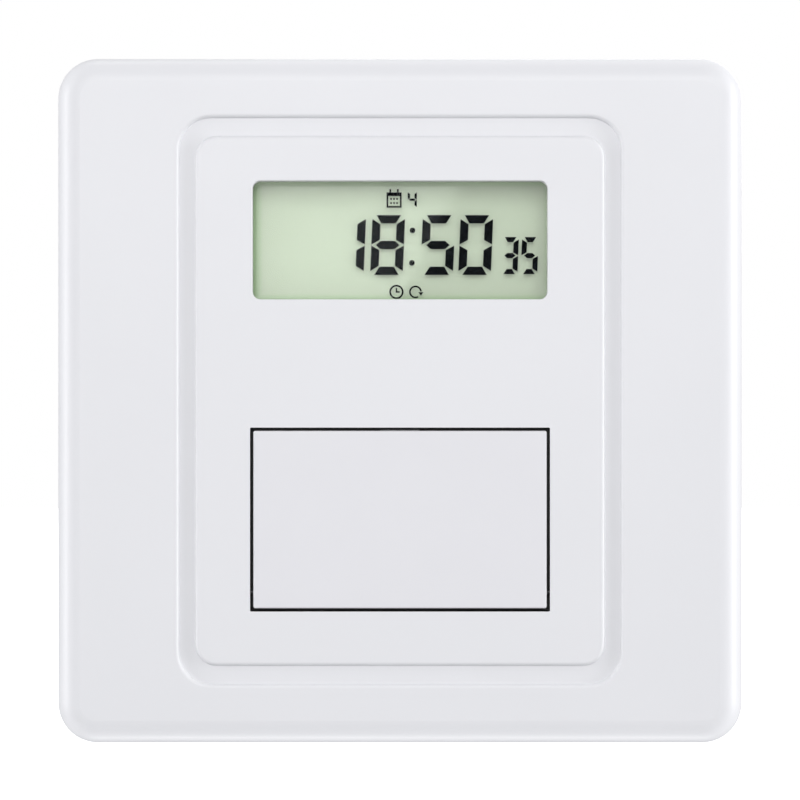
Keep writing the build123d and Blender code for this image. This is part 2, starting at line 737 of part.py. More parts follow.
# ---------------------------------------------------------------- write every sub-part
def all_parts():
    parts = {
        "front_cover": front_cover(),
        "flap": flap(),
        "display_lens": display_lens(),
        "lcd_front_polariser": lcd_front_polariser(),
        "lcd_front_glass": lcd_front_glass(),
        "lcd_rear_glass": lcd_rear_glass(),
        "lcd_reflector": lcd_reflector(),
        "lcd_holder": lcd_holder(),
        "zebra_strip": zebra_strip(),
        "display_board": display_board(),
        "display_board_screws": display_board_screws(),
        "tact_switches": tact_switches(),
        "controller_chip": controller_chip(),
        "clock_crystal": clock_crystal(),
        "backup_cell": backup_cell(),
        "chip_parts": chip_parts(),
        "board_socket": board_socket(),
        "pin_header": pin_header(),
        "mounting_frame": mounting_frame(),
        "rear_box": rear_box(),
        "frame_screws": frame_screws(),
        "power_board": power_board(),
        "relay_case": relay_case(),
        "relay_base": relay_base(),
        "relay_yoke": relay_yoke(),
        "relay_bobbin": relay_bobbin(),
        "relay_winding": relay_winding(),
        "relay_armature": relay_armature(),
        "relay_leaf": relay_leaf(),
        "relay_contacts": relay_contacts(),
        "suppressor_capacitor": suppressor_capacitor(),
        "smoothing_capacitors": smoothing_capacitors(),
        "surge_disc": surge_disc(),
        "board_fuse": board_fuse(),
        "rectifier_diodes": rectifier_diodes(),
        "resistors": resistors(),
        "terminal_block": terminal_block(),
        "terminal_bars": terminal_bars(),
    }
    for name, x, z, width in key_places():
        parts[f"key_{name}"] = key_cap(x, z, width)
        parts[f"plunger_{name}"] = key_plunger(x, z)
    for number, x in enumerate(terminal_places(), start=1):
        parts[f"terminal_screw_{number}"] = terminal_screw(x)
        parts[f"terminal_cage_{number}"] = terminal_cage(x)
    return parts


os.makedirs("parts", exist_ok=True)
for node, shape in all_parts().items():
    export_step(shape, f"parts/{node}.step")
    print(node, len(shape.solids()), "solids", round(shape.volume, 1), "mm3")
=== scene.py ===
import bmesh
import bpy
import json
import math
from mathutils import Matrix, Vector


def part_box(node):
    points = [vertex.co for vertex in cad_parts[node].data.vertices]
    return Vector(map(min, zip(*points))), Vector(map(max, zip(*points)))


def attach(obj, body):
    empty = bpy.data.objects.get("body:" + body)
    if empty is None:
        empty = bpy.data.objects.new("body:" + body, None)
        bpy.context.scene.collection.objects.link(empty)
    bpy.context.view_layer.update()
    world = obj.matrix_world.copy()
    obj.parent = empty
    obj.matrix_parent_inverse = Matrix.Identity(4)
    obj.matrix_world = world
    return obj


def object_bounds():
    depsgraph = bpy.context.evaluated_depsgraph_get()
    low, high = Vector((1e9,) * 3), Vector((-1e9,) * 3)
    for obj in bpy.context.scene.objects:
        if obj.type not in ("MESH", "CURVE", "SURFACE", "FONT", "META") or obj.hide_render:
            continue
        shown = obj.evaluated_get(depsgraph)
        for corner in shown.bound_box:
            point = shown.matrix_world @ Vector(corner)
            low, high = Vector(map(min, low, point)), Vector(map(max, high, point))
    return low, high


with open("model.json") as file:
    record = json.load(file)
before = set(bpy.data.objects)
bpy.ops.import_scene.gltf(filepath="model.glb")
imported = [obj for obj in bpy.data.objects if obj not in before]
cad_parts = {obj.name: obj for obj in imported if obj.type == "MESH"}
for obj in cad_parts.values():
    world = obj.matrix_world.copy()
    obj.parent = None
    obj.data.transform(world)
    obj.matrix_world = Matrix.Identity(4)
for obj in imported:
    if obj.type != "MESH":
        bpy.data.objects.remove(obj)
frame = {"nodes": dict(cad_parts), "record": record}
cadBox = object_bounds()
nodes = frame["nodes"]
slotOf = {part["node"]: part["material_slot"] for part in frame["record"]["subparts"]}
mm = 0.001
print("frame loaded:", len(nodes), "nodes")


# one wrapper for every node tree: arithmetic on values, and one method for any other node
class Signal:
    def __init__(self, tree, socket=None):
        self.tree = tree
        self.socket = socket

    def node(self, kind, settings, inputs, output=0):
        made = self.tree.nodes.new(kind)
        for key, value in settings.items():
            setattr(made, key, value)
        for key, value in inputs.items():
            if isinstance(value, Signal):
                self.tree.links.new(value.socket, made.inputs[key])
            else:
                made.inputs[key].default_value = value
        return Signal(self.tree, made.outputs[output])

    def calc(self, operation, first, second=0.0):
        return self.node("ShaderNodeMath", {"operation": operation}, {0: first, 1: second})

    def __add__(self, other):
        return self.calc("ADD", self, other)

    def __radd__(self, other):
        return self.calc("ADD", other, self)

    def __sub__(self, other):
        return self.calc("SUBTRACT", self, other)

    def __rsub__(self, other):
        return self.calc("SUBTRACT", other, self)

    def __mul__(self, other):
        return self.calc("MULTIPLY", self, other)

    def __truediv__(self, other):
        return self.calc("DIVIDE", self, other)

    def __gt__(self, other):
        return self.calc("GREATER_THAN", self, other)

    def __lt__(self, other):
        return self.calc("LESS_THAN", self, other)


def newMaterial(name, fixed):
    material = bpy.data.materials.new(name)
    material.use_nodes = True
    tree = material.node_tree
    tree.nodes.clear()
    shader = tree.nodes.new("ShaderNodeBsdfPrincipled")
    output = tree.nodes.new("ShaderNodeOutputMaterial")
    tree.links.new(shader.outputs[0], output.inputs[0])
    for key, value in fixed.items():
        shader.inputs[key].default_value = value
    return material, shader, Signal(tree)


def connect(shader, varying):
    for key, signal in varying.items():
        signal.tree.links.new(signal.socket, shader.inputs[key])


def here(start):
    return start.node("ShaderNodeTexCoord", {}, {}, "Object")


def split(vector, axes="XYZ"):
    return [vector.node("ShaderNodeSeparateXYZ", {}, {0: vector}, axis) for axis in axes]


def noise(place, scale, detail=3.0):
    inputs = {"Vector": place, "Scale": scale, "Detail": detail}
    return place.node("ShaderNodeTexNoise", {}, inputs, "Fac")


def stretched(place, scale):
    return place.node("ShaderNodeMapping", {}, {"Vector": place, "Scale": scale})


def mixed(mask, first, second):
    return mask.node("ShaderNodeMix", {"data_type": "RGBA"}, {0: mask, 6: first, 7: second}, 2)


def bump(height, distance):
    inputs = {"Height": height, "Distance": distance, "Strength": 1.0}
    return height.node("ShaderNodeBump", {}, inputs, "Normal")


def smoothStep(signal, low, high):
    return signal.node("ShaderNodeMapRange", {"interpolation_type": "SMOOTHSTEP"},
                       {"Value": signal, "From Min": low, "From Max": high})


def shade(colour, factor):
    return (*[min(1.0, c * factor) for c in colour], 1.0)


# painted shade down the gap round the door, a dark colour standing in for shadow; in millimetres: how far
# past a wall it reaches, how far behind the face it starts, and where it stops at the pocket's floor
gapPaintedShade = {"z": -14.85, "past": 0.45, "starts": (0.14, 0.26), "stops": 3.4,
             "colour": (0.012, 0.012, 0.013, 1.0)}


def gapPaintedShadeMask(place, paintedShade):  # 1 on what shows down the gap, behind its front edge: where the painted shade goes
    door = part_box("flap")
    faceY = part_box("front_cover")[0].y
    across, depth, up = split(place)
    middle = (door[0] + door[1]) / 2
    sides = paintedShade["half"][0] * mm - place.calc("ABSOLUTE", across - middle.x)
    ends = paintedShade["half"][1] * mm - place.calc("ABSOLUTE", up - gapPaintedShade["z"] * mm)
    inward = place.calc("MINIMUM", sides, ends)
    nearWall = (inward > -gapPaintedShade["past"] * mm) * (inward < paintedShade["band"] * mm)
    first, full = gapPaintedShade["starts"]
    behind = smoothStep(depth - faceY, first * mm, full * mm) * (depth < faceY + gapPaintedShade["stops"] * mm)
    return nearWall * behind


# what every plastic shares unless its own look says otherwise
plasticBase = {"specular": 0.5, "spread": 0.02, "mottleScale": 60.0, "mottleRange": (0.3, 0.7),
               "handledScale": 2.3, "handledShare": 0.08, "waveScale": 0.07, "waveShare": 0.8}


def plastic(name, ownLook):
    look = {**plasticBase, **ownLook}
    fixed = {"IOR": 1.5, "Metallic": 0.0, "Specular IOR Level": look["specular"]}
    material, shader, start = newMaterial(name, fixed)
    place = here(start)
    mottle = noise(place, look["mottleScale"], 4.0)  # slow change of shade from the moulding flow
    darker = shade(look["colour"], 1.0 - look["spread"])
    lighter = shade(look["colour"], 1.0 + look["spread"])
    colour = mixed(smoothStep(mottle, *look["mottleRange"]), darker, lighter)
    # painted shade: what shows down the gap is coloured near black, standing in for shadow
    if "paintedShade" in look:
        colour = mixed(gapPaintedShadeMask(place, look["paintedShade"]), colour, gapPaintedShade["colour"])
    handled = noise(place, look["mottleScale"] * look["handledScale"])
    grain = noise(place, look["grainScale"], 2.0)  # spark-eroded texture of the mould
    wave = noise(place, look["grainScale"] * look["waveScale"], 2.0)
    connect(shader, {
        "Base Color": colour,
        "Roughness": look["roughness"] - look["handledShare"] / 2 + handled * look["handledShare"],
        "Normal": bump(grain + wave * look["waveShare"], look["grainDepth"] * mm),
    })
    return material


metalBase = {"brushing": (1.0, 1.0, 1.0), "stainScale": 300.0, "stainRange": (0.35, 0.75),
             "bright": 1.06, "dull": 0.86, "roughnessSpread": 0.2}


def metal(name, ownLook):
    look = {**metalBase, **ownLook}
    material, shader, start = newMaterial(name, {"Metallic": 1.0, "IOR": 1.8})
    place = here(start)
    brushed = noise(stretched(place, look["brushing"]), look["grainScale"])
    stain = smoothStep(noise(place, look["stainScale"], 4.0), *look["stainRange"])
    bright, dull = shade(look["colour"], look["bright"]), shade(look["colour"], look["dull"])
    connect(shader, {
        "Base Color": mixed(stain, bright, dull),
        "Roughness": look["roughness"] + (brushed - 0.5) * look["roughnessSpread"],
        "Normal": bump(brushed, look["grainDepth"] * mm),
    })
    return material


def clearMaterial(name, look):  # see-through sheet whose mirrored share grows at a slant
    material = bpy.data.materials.new(name)
    material.use_nodes = True
    tree = material.node_tree
    tree.nodes.clear()
    start = Signal(tree)
    mirrored = start.node("ShaderNodeFresnel", {}, {"IOR": look["ior"]})
    through = start.node("ShaderNodeBsdfTransparent", {}, {"Color": (*look["tint"], 1.0)})
    gloss = start.node("ShaderNodeBsdfGlossy", {}, {"Roughness": look["roughness"]})
    both = start.node("ShaderNodeMixShader", {}, {0: mirrored, 1: through, 2: gloss})
    output = tree.nodes.new("ShaderNodeOutputMaterial")
    tree.links.new(both.socket, output.inputs[0])
    return material


coverLook = {"colour": (0.80, 0.80, 0.825), "spread": 0.006, "roughness": 0.40, "grainScale": 2600.0,
             "grainDepth": 0.004, "mottleScale": 45.0}
flapLook = {**coverLook, "colour": (0.785, 0.78, 0.81), "mottleScale": 90.0,
            "paintedShade": {"half": (18.35, 11.1), "band": -0.03}}  # painted shade on only the pins and the catch
# painted shade on the opening's walls and the edge of the pocket's floor, in millimetres
openingPaintedShade = {"half": (18.75, 11.5), "band": 0.55}
frameLook = {"colour": (0.66, 0.66, 0.65), "spread": 0.02, "roughness": 0.5, "grainScale": 1800.0,
             "grainDepth": 0.012}
boxLook = {"colour": (0.60, 0.61, 0.61), "spread": 0.03, "roughness": 0.52, "grainScale": 1400.0,
           "grainDepth": 0.02, "mottleScale": 40.0}
blackLook = {"colour": (0.022, 0.022, 0.024), "spread": 0.15, "roughness": 0.48, "grainScale": 2500.0,
             "grainDepth": 0.01}
keyLook = {"colour": (0.30, 0.32, 0.35), "spread": 0.04, "roughness": 0.62, "grainScale": 3000.0,
           "grainDepth": 0.014, "specular": 0.35}
relayLook = {"colour": (0.02, 0.10, 0.36), "spread": 0.06, "roughness": 0.33, "grainScale": 1500.0,
             "grainDepth": 0.006}
terminalLook = {"colour": (0.10, 0.105, 0.11), "spread": 0.10, "roughness": 0.5, "grainScale": 2000.0,
                "grainDepth": 0.016}
filmLook = {"colour": (0.80, 0.52, 0.06), "spread": 0.05, "roughness": 0.34, "grainScale": 1200.0,
            "grainDepth": 0.006}
discLook = {"colour": (0.03, 0.15, 0.42), "spread": 0.08, "roughness": 0.28, "grainScale": 500.0,
            "grainDepth": 0.03}
steelLook = {"colour": (0.72, 0.72, 0.71), "roughness": 0.30, "grainScale": 1500.0, "grainDepth": 0.006}
windowLook = {"ior": 1.15, "roughness": 0.01, "tint": (0.985, 0.995, 0.985)}
polariserLook = {"ior": 1.04, "roughness": 0.1, "tint": (0.985, 1.0, 0.975)}
glassLook = {"ior": 1.04, "roughness": 0.02, "tint": (0.99, 1.0, 0.985)}
rubberLook = {"start": 0.0, "pitch": 0.25, "share": 0.5, "roughness": 0.6,  # stripes in millimetres
              "ground": (0.62, 0.62, 0.60), "stripe": (0.03, 0.03, 0.03)}
sleeveLook = {"start": -1.0, "pitch": 60.0, "share": 0.035, "roughness": 0.3,
              "ground": (0.02, 0.022, 0.03), "stripe": (0.55, 0.55, 0.52)}
resistorLook = {"start": -12.4, "pitch": 1.3, "share": 0.3, "roughness": 0.35,
                "ground": (0.60, 0.47, 0.30), "stripe": (0.32, 0.07, 0.02)}
boardLook = {
    "pitch": 0.9, "halfTrack": 0.17, "zoneScale": 95.0, "bareShare": 0.4,  # tracks, pitch in millimetres
    "viaScale": 190.0, "viaScatter": 0.6, "viaSize": 0.09, "weaveScale": 900.0, "weaveStretch": 14.0,
    "mask": (0.012, 0.095, 0.034, 1.0), "overCopper": (0.020, 0.150, 0.054, 1.0),
    "plated": (0.60, 0.58, 0.50, 1.0), "roughness": 0.30, "relief": 0.03,
}
reflectorLook = {
    "half": (18.65, 7.6), "shift": (0.4, 0.2),  # outline of the painted shade rim in millimetres, wider at the left and bottom
    "rimRange": (-0.3, 1.1), "rim": (0.50, 0.62, 0.43, 1.0),
    "clear": ((0.71, 0.71, 0.67, 1.0), (0.74, 0.74, 0.70, 1.0)),
    # glow: painted light, the film gives off its own colour though nothing lights it from behind
    "grainScale": 1500.0, "grainStretch": 40.0, "grainDepth": 0.004, "roughness": 0.55, "glow": 0.20,
}


def lined(along, pitch, halfWidth):  # 1 on lines that repeat along one direction
    return along.calc("ABSOLUTE", along.calc("FRACT", along / pitch) - 0.5) < halfWidth


def boardMaterial():  # solder mask over copper: routed tracks, plated vias and a fine weave below
    look = boardLook
    material, shader, start = newMaterial("boardGreen", {"Metallic": 0.0, "IOR": 1.55})
    place = here(start)
    across, up = split(place, "XZ")
    flat = start.node("ShaderNodeCombineXYZ", {}, {0: across, 1: up, 2: 0.0})
    zone = start.node("ShaderNodeTexVoronoi", {"distance": "CHEBYCHEV"},
                      {"Vector": flat, "Scale": look["zoneScale"]}, "Color")
    turned, dense = split(zone, "XY")
    rows = lined(up, look["pitch"] * mm, look["halfTrack"])
    columns = lined(across, look["pitch"] * mm, look["halfTrack"])
    copper = (rows * (turned > 0.5) + columns * (turned < 0.5)) * (dense > look["bareShare"])
    vias = start.node("ShaderNodeTexVoronoi", {}, {
        "Vector": flat, "Scale": look["viaScale"], "Randomness": look["viaScatter"]}, "Distance")
    plated = vias < look["viaSize"]
    warp = noise(stretched(place, (1.0, 1.0, look["weaveStretch"])), look["weaveScale"])
    weft = noise(stretched(place, (look["weaveStretch"], 1.0, 1.0)), look["weaveScale"])
    connect(shader, {
        "Base Color": mixed(plated, mixed(copper, look["mask"], look["overCopper"]), look["plated"]),
        "Roughness": look["roughness"] + noise(place, 200.0) * 0.1,
        "Normal": bump(copper * 0.8 + (warp + weft) * 0.12 - plated * 0.8, look["relief"] * mm),
    })
    return material


def reflectorMaterial():  # grey-green film with a fine brushed grain, deeper green painted shade near the window's edges, and a painted glow
    look = reflectorLook
    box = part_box("display_lens")
    middle = (box[0] + box[1]) / 2
    material, shader, start = newMaterial("lcdReflective", {
        "Metallic": 0.0, "IOR": 1.2, "Coat Weight": 1.0, "Coat Roughness": 0.035, "Coat IOR": 1.5,
        "Emission Strength": look["glow"]})
    place = here(start)
    across, up = split(place, "XZ")
    fromSide = look["half"][0] * mm - start.calc("ABSOLUTE", across - middle.x - look["shift"][0] * mm)
    fromEnd = look["half"][1] * mm - start.calc("ABSOLUTE", up - middle.z - look["shift"][1] * mm)
    rimStart, rimEnd = look["rimRange"]
    # painted shade: the film turns deeper green along the window's edges, standing in for the recess's
    # shadow
    rim = smoothStep(start.calc("MINIMUM", fromSide, fromEnd), rimStart * mm, rimEnd * mm)
    grain = noise(stretched(place, (1.0, 1.0, look["grainStretch"])), look["grainScale"])
    film = mixed(rim, look["rim"], mixed(grain, *look["clear"]))
    connect(shader, {
        # painted glow in the film's own colour
        "Base Color": film,
        "Emission Color": film,
        "Roughness": look["roughness"] + grain * 0.1,
        "Normal": bump(grain, look["grainDepth"] * mm),
    })
    return material


def stripedMaterial(name, look):  # bands across X, as on contact strips, sleeves and resistors
    material, shader, start = newMaterial(name, {"Metallic": 0.0, "IOR": 1.5})
    place = here(start)
    along = split(place, "X")[0]
    phase = start.calc("FRACT", (along - look["start"] * mm) / (look["pitch"] * mm))
    band = phase < look["share"]
    grain = noise(place, 1800.0)
    connect(shader, {
        "Base Color": mixed(band, (*look["ground"], 1.0), (*look["stripe"], 1.0)),
        "Roughness": look["roughness"] + grain * 0.12,
        "Normal": bump(grain + band * 0.6, 0.006 * mm),
    })
    return material


def buildMaterials():
    made = {
        "cover_white": plastic("coverWhite", {**coverLook, "paintedShade": openingPaintedShade}),
        "flap_white": plastic("flapWhite", flapLook),
        "frame_white": plastic("frameWhite", frameLook),
        "box_grey": plastic("boxGrey", boxLook),
        "holder_black": plastic("holderBlack", blackLook),
        "plunger_black": plastic("plungerBlack", {**blackLook, "roughness": 0.4}),
        "package_black": plastic("packageBlack", {
            **blackLook, "grainScale": 4000.0, "roughness": 0.55}),
        "relay_black": plastic("relayBlack", {**blackLook, "mottleScale": 120.0}),
        "key_grey": plastic("keyGrey", keyLook),
        "relay_blue": plastic("relayBlue", relayLook),
        "terminal_grey": plastic("terminalGrey", terminalLook),
        "capacitor_yellow": plastic("capacitorYellow", filmLook),
        "disc_blue": plastic("discBlue", discLook),
        "chip_ceramic": plastic("chipCeramic", {**discLook, "colour": (0.42, 0.32, 0.22)}),
        "board_green": boardMaterial(),
        "lcd_reflective": reflectorMaterial(),
        "window_clear": clearMaterial("windowClear", windowLook),
        "film_grey": clearMaterial("filmGrey", polariserLook),
        "lcd_glass": clearMaterial("lcdGlass", glassLook),
        "screw_zinc": metal("screwZinc", {**steelLook, "colour": (0.74, 0.73, 0.68)}),
        "switch_steel": metal("switchSteel", {**steelLook, "brushing": (1.0, 1.0, 8.0)}),
        "can_bright": metal("canBright", {
            **steelLook, "colour": (0.80, 0.80, 0.79), "brushing": (8.0, 1.0, 1.0)}),
        "iron_plated": metal("ironPlated", {**steelLook, "colour": (0.60, 0.60, 0.57), "roughness": 0.38}),
        "clamp_steel": metal("clampSteel", {
            **steelLook, "colour": (0.70, 0.70, 0.66), "brushing": (1.0, 6.0, 1.0)}),
        "winding_copper": metal("windingCopper", {
            **steelLook, "colour": (0.62, 0.22, 0.08), "roughness": 0.25}),
        "contact_brass": metal("contactBrass", {
            **steelLook, "colour": (0.80, 0.60, 0.26), "brushing": (1.0, 1.0, 6.0)}),
        "contact_rubber": stripedMaterial("contactRubber", rubberLook),
        "sleeve_black": stripedMaterial("sleeveBlack", sleeveLook),
        "resistor_beige": stripedMaterial("resistorBeige", resistorLook),
    }
    for node, piece in nodes.items():
        piece.data.materials[0] = made[slotOf[node]]
    return made


made = buildMaterials()
print("materials:", len(made))


# meshes: flat printed shapes, and trees for what repeats
def onCircle(radius, angle):
    return radius * math.cos(angle), radius * math.sin(angle)


def ring(radius, count):
    return [onCircle(radius, i * math.tau / count) for i in range(count)]


def moved(outline, x=0.0, z=0.0, lean=0.0):
    return [(px + x + lean * pz, pz + z) for px, pz in outline]


def bar(width, height, x=0.0, z=0.0):
    return [(x - width / 2, z - height / 2), (x + width / 2, z - height / 2),
            (x + width / 2, z + height / 2), (x - width / 2, z + height / 2)]


washerSides = 40


def washer(outer, inner, start=0.0, end=math.tau):  # a band as a row of four-sided outlines
    steps = [start + (end - start) * i / washerSides for i in range(washerSides + 1)]
    return [[onCircle(inner, a), onCircle(outer, a), onCircle(outer, b), onCircle(inner, b)]
            for a, b in zip(steps, steps[1:])]


# closed prisms facing -Y, from outlines in millimetres
def printed(name, outlines, place, material, body):
    shape = bmesh.new()
    for outline in outlines:
        area = sum(a[0] * b[1] - b[0] * a[1] for a, b in zip(outline, outline[1:] + outline[:1]))
        loop = outline if area > 0 else outline[::-1]
        front = [shape.verts.new(((x + place["x"]) * mm, place["y"] * mm, (z + place["z"]) * mm))
                 for x, z in loop]
        back = [shape.verts.new((v.co.x, v.co.y + place["thick"] * mm, v.co.z)) for v in front]
        shape.faces.new(front)
        shape.faces.new(back[::-1])
        for i in range(len(front)):
            j = (i + 1) % len(front)
            shape.faces.new((front[j], front[i], back[i], back[j]))
    bmesh.ops.remove_doubles(shape, verts=shape.verts, dist=1e-7)
    seen = {}
    doubled = []
    for face in shape.faces:  # walls that two neighbouring prisms share are inside, so both go
        key = frozenset(face.verts)
        if key in seen:
            doubled += [face, seen[key]]
        seen[key] = face
    bmesh.ops.delete(shape, geom=list(set(doubled)), context="FACES")
    mesh = bpy.data.meshes.new(name)
    shape.to_mesh(mesh)
    shape.free()
    mesh.materials.append(material)
    piece = bpy.data.objects.new(name, mesh)
    bpy.context.scene.collection.objects.link(piece)
    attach(piece, body)


def newTree(name, sizes):
    tree = bpy.data.node_groups.new(name, "GeometryNodeTree")
    tree.interface.new_socket("Geometry", in_out="INPUT", socket_type="NodeSocketGeometry")
    for label, value in sizes.items():
        kind = "Float" if isinstance(value, float) else "Material"
        tree.interface.new_socket(label, in_out="INPUT", socket_type="NodeSocket" + kind)
    tree.interface.new_socket("Geometry", in_out="OUTPUT", socket_type="NodeSocketGeometry")
    source = tree.nodes.new("NodeGroupInput")
    start = Signal(tree)
    return tree, start, {socket.name: Signal(tree, socket) for socket in source.outputs if socket.name}


def endTree(tree, shape, material):
    real = shape.node("GeometryNodeRealizeInstances", {}, {0: shape})
    painted = shape.node("GeometryNodeSetMaterial", {}, {"Geometry": real, "Material": material})
    output = tree.nodes.new("NodeGroupOutput")
    tree.links.new(painted.socket, output.inputs[0])


# runs a tree on points given in millimetres and keeps the plain mesh
def grow(name, build, sizes, points, slot, body):
    values = {**sizes, "Material": made[slot]}
    tree = build(name, values)
    seed = bpy.data.meshes.new(name + "Seed")
    seed.from_pydata([tuple(c * mm for c in point) for point in points], [], [])
    piece = bpy.data.objects.new(name, seed)
    bpy.context.scene.collection.objects.link(piece)
    modifier = piece.modifiers.new("shape", "NODES")
    modifier.node_group = tree
    for item in tree.interface.items_tree:
        if item.in_out == "INPUT" and item.name in values:
            modifier[item.identifier] = values[item.name]
    bpy.context.view_layer.update()
    evaluated = piece.evaluated_get(bpy.context.evaluated_depsgraph_get())
    mesh = bpy.data.meshes.new_from_object(evaluated)
    piece.modifiers.clear()
    piece.data = mesh
    mesh.name = name
    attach(piece, body)


towardsMinusY = (math.pi / 2, 0.0, 0.0)
towardsPlusY = (-math.pi / 2, 0.0, 0.0)


def instanced(start, values, shape, turn):
    inputs = {"Points": values["Geometry"], "Instance": shape, "Rotation": turn}
    return start.node("GeometryNodeInstanceOnPoints", {}, inputs, "Instances")


def solderTree(name, sizes):  # a joint that narrows from its pad up to the wire
    tree, start, values = newTree(name, sizes)
    cone = start.node("GeometryNodeMeshCone", {"fill_type": "NGON"}, {
        "Vertices": 16, "Side Segments": 3, "Radius Top": values["Wire"], "Radius Bottom": values["Pad"],
        "Depth": values["Height"]}, "Mesh")
    smooth = start.node("GeometryNodeSetShadeSmooth", {}, {0: cone})
    endTree(tree, instanced(start, values, smooth, towardsMinusY), values["Material"])
    return tree


def ridgeTree(name, sizes):  # a helical screw thread wound along Y
    tree, start, values = newTree(name, sizes)
    spiral = start.node("GeometryNodeCurveSpiral", {}, {
        "Resolution": 28, "Rotations": values["Turns"], "Start Radius": values["Radius"],
        "End Radius": values["Radius"], "Height": values["Height"]}, "Curve")
    profile = start.node("GeometryNodeCurvePrimitiveCircle", {}, {
        "Resolution": 4, "Radius": values["Ridge"]}, "Curve")
    thread = start.node("GeometryNodeCurveToMesh", {}, {
        "Curve": spiral, "Profile Curve": profile, "Fill Caps": True}, "Mesh")
    endTree(tree, instanced(start, values, thread, towardsPlusY), values["Material"])
    return tree


def coilTree(name, sizes):  # closed turns of wire, one to each point
    tree, start, values = newTree(name, sizes)
    turn = start.node("GeometryNodeCurvePrimitiveCircle", {}, {
        "Resolution": 40, "Radius": values["Radius"]}, "Curve")
    wire = start.node("GeometryNodeCurvePrimitiveCircle", {}, {
        "Resolution": 8, "Radius": values["Wire"]}, "Curve")
    loop = start.node("GeometryNodeCurveToMesh", {}, {"Curve": turn, "Profile Curve": wire}, "Mesh")
    smooth = start.node("GeometryNodeSetShadeSmooth", {}, {0: loop})
    endTree(tree, instanced(start, values, smooth, towardsMinusY), values["Material"])
    return tree


def dotTree(name, sizes):  # small round studs standing along Y
    tree, start, values = newTree(name, sizes)
    stud = start.node("GeometryNodeMeshCylinder", {"fill_type": "NGON"}, {
        "Vertices": 24, "Radius": values["Radius"], "Depth": values["Height"]}, "Mesh")
    endTree(tree, instanced(start, values, stud, towardsMinusY), values["Material"])
    return tree


# display: segments and pictograms between the two glasses, in millimetres from the window's middle
displayLook = {
    "digitHeight": 7.55, "digitWidth": 4.12, "stroke": 1.04, "corner": 0.44, "gap": 0.08,
    "smallShare": 0.62, "smallNarrow": 0.82, "smallRise": 0.1, "dayShare": 0.28,
    "lean": math.tan(math.radians(2.4)), "base": -4.2,
    "figures": (("1", -6.66), ("8", -1.72), ("5", 4.63), ("0", 9.41)),
    "smallFigures": (("3", 13.78), ("5", 16.28)),
    "colon": ((1.58, 1.42), (1.50, -2.68)), "colonRadius": 0.35,
    "calendar": (-0.75, 5.25), "day": (1.55, 4.25), "clock": (-0.45, -6.35), "loop": (1.95, -6.35),
    "inFront": 0.02, "thick": 0.04,
}
segmentLook = {"colour": (0.004, 0.005, 0.009), "spread": 0.1, "roughness": 0.5, "grainScale": 3000.0,
               "grainDepth": 0.002, "specular": 0.02}
litSegments = {"0": "abcdef", "1": "bc", "3": "abcdg", "4": "bcfg", "5": "acdfg", "8": "abcdefg"}


def digitOutlines(figure, look, size=1.0, narrow=1.0):
    w, h = look["digitWidth"] * size * narrow, look["digitHeight"] * size
    t, c, g = look["stroke"] * size, look["corner"] * size, look["gap"] * size
    mid = h / 2
    wide, slim = g * 1.6, g * 1.4  # room left beside the middle bar, and beside the top one
    left = [(0, mid + g), (t, mid + t / 2 + wide), (t, h - t - slim),
            (g * 0.5, h - c - g), (0, h - c - g * 2)]
    top = [(c + g, h), (w - c - g, h), (w - t - slim, h - t), (t + slim, h - t)]
    centre = [(c + wide, mid), (t + wide, mid + t / 2), (w - t - wide, mid + t / 2),
              (w - c - wide, mid), (w - t - wide, mid - t / 2), (t + wide, mid - t / 2)]

    def across(outline):
        return [(w - x, z) for x, z in outline]

    def down(outline):
        return [(x, h - z) for x, z in outline]

    shapes = {"a": top, "b": across(left), "c": across(down(left)), "d": down(top), "e": down(left),
              "f": left, "g": centre}
    return [moved(shapes[key], -w / 2) for key in litSegments[figure]]


def calendarOutlines(size):
    edge = size * 0.11
    side = (size - edge) / 2
    rows = [bar(size, edge * 2.2, 0, size / 2 - edge), bar(size, edge, 0, -size / 2 + edge / 2)]
    rows += [bar(edge, size - edge * 3.1, x, -edge * 0.55) for x in (-side, side)]
    rows += [bar(edge, edge * 2, x * size, size / 2 + edge * 1.1) for x in (-0.25, 0.25)]
    return rows + [bar(edge, edge, x * size, z * size) for x in (-0.2, 0.0, 0.2) for z in (-0.2, 0.08)]


def clockOutlines(size):
    hands = [bar(size * 0.1, size * 0.33, 0, size * 0.115), bar(size * 0.18, size * 0.1, size * 0.14, 0)]
    return washer(size / 2, size * 0.38) + hands


def loopOutlines(size):
    tip = [(size * 0.24, -size * 0.02), (size * 0.62, -size * 0.02), (size * 0.43, -size * 0.30)]
    return washer(size / 2, size * 0.37, 0.1, math.radians(300)) + [tip]


def buildDisplay():
    look = displayLook
    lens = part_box("display_lens")
    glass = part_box("lcd_rear_glass")
    middle = (lens[0] + lens[1]) / 2 / mm
    outlines = []
    for figure, x in look["figures"]:
        outlines += [moved(o, x, look["base"], look["lean"]) for o in digitOutlines(figure, look)]
    for figure, x in look["smallFigures"]:
        small = digitOutlines(figure, look, look["smallShare"], look["smallNarrow"])
        outlines += [moved(o, x, look["base"] + look["smallRise"], look["lean"]) for o in small]
    outlines += [moved(ring(look["colonRadius"], 24), x, z) for x, z in look["colon"]]
    outlines += [moved(o, *look["calendar"]) for o in calendarOutlines(1.9)]
    outlines += [moved(o, *look["day"]) for o in digitOutlines("4", look, look["dayShare"])]
    outlines += [moved(o, *look["clock"]) for o in clockOutlines(1.8)]
    outlines += [moved(o, *look["loop"]) for o in loopOutlines(1.6)]
    place = {"x": middle.x, "y": glass[0].y / mm - look["inFront"], "z": middle.z, "thick": look["thick"]}
    ink = plastic("segmentInk", segmentLook)
    printed("lcdSegments", outlines, place, ink, "front")


buildDisplay()
print("display segments done")


